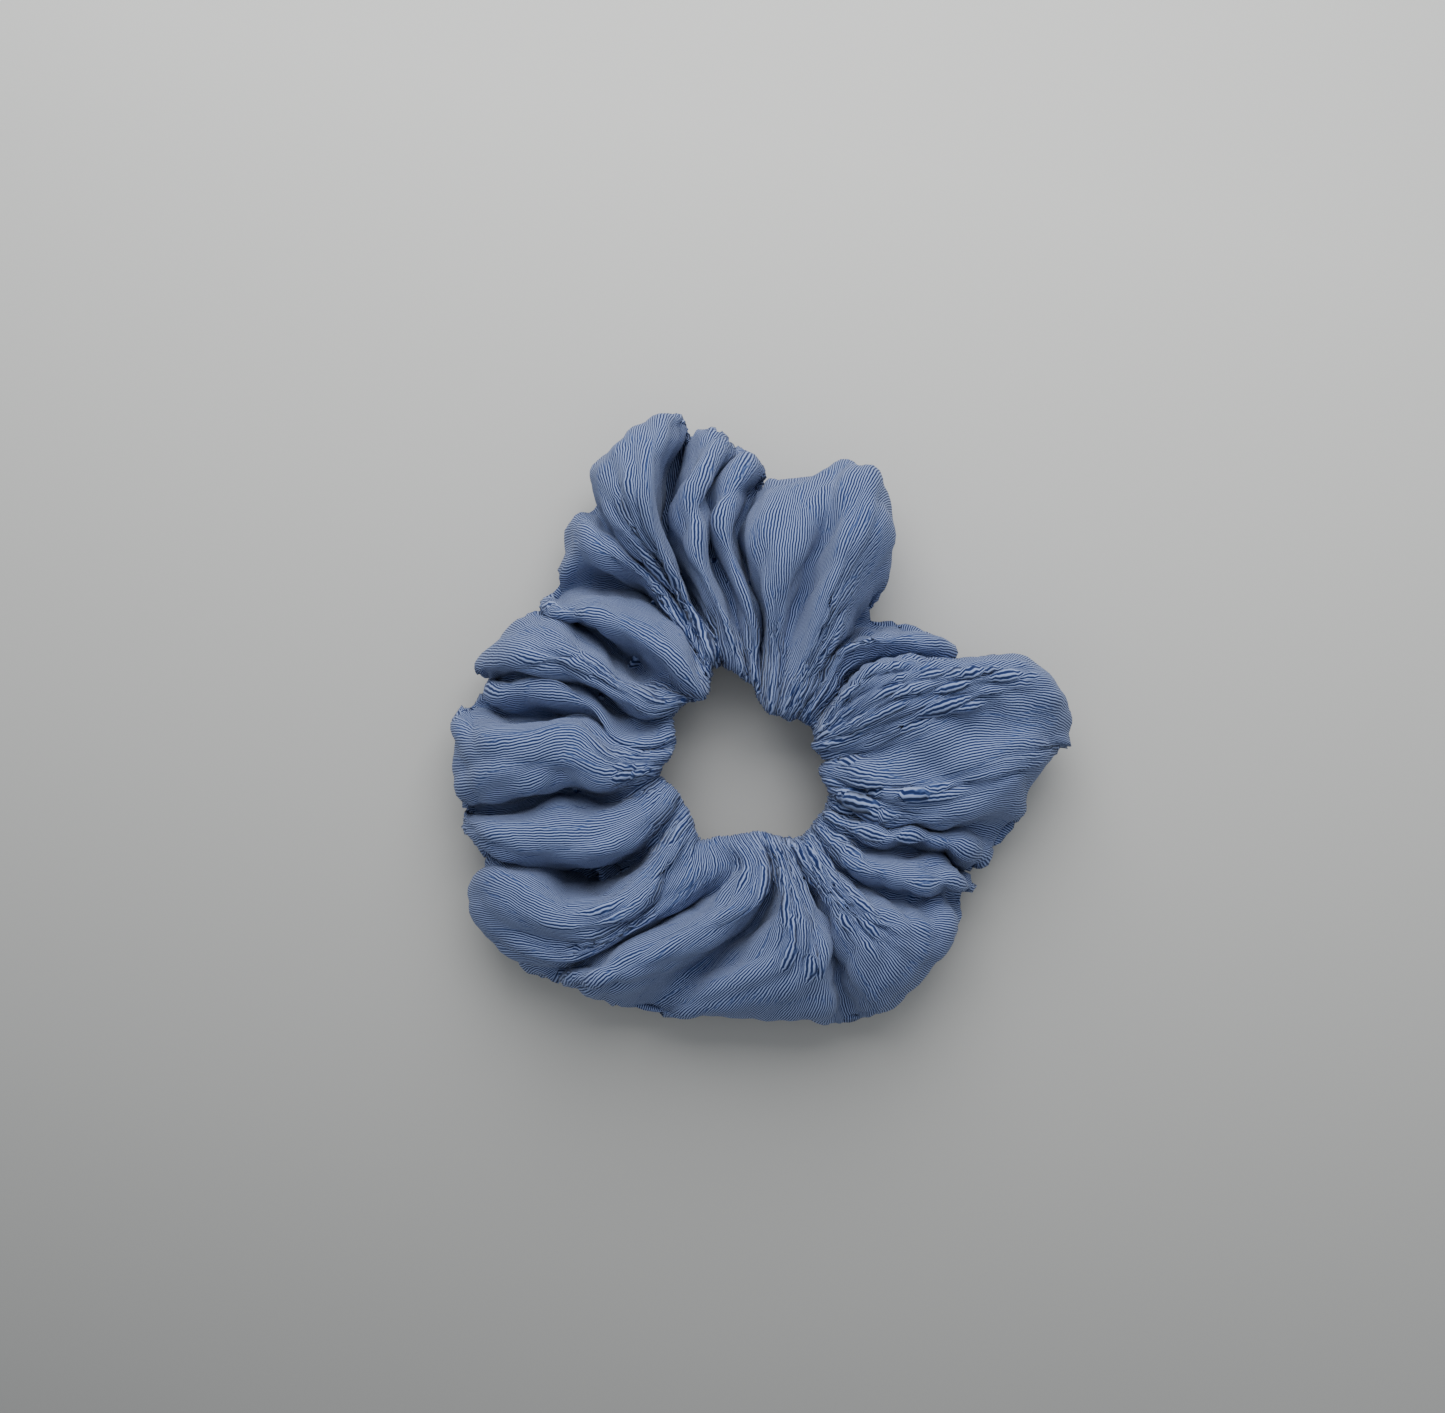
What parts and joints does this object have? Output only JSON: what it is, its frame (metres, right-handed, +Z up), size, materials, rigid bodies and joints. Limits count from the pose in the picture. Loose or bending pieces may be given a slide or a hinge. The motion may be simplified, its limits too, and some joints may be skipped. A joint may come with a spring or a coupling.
{
  "type": "scrunchie",
  "caption": "Hair tie made of a wide tube of crinkled cloth gathered over a hidden loop of flat elastic.",
  "frame": {"origin": "centre of the hair opening, at the middle of the elastic's width", "axes": "+Z up from the table, along the hair that passes through; +X the way the right half slides as it stretches"},
  "size_m": [0.1194, 0.1177, 0.0311],
  "materials": {
    "crinkle_cloth": "matt crinkled crepe, dusty periwinkle blue",
    "braided_elastic": "off-white flat braid",
    "sewing_thread": "spun polyester, blue to match the cloth"
  },
  "bodies": {
    "left_half": {"cover_left": "crinkle_cloth", "elastic_band": "braided_elastic", "elastic_join_needle_thread": "sewing_thread", "elastic_join_bobbin_thread": "sewing_thread", "long_seam_needle_thread_left": "sewing_thread", "long_seam_bobbin_thread_left": "sewing_thread"},
    "right_half": {"cover_right": "crinkle_cloth", "long_seam_needle_thread_right": "sewing_thread", "long_seam_bobbin_thread_right": "sewing_thread", "closing_seam_needle_thread": "sewing_thread", "closing_seam_bobbin_thread": "sewing_thread"}
  },
  "joints": [
    {"name": "stretch", "type": "slide", "parent": "left_half", "child": "right_half", "axis": [1, 0, 0], "range_m": [0, 0.06], "stiffness_N_per_m": 100, "deforming": ["elastic_band"]}
  ]
}
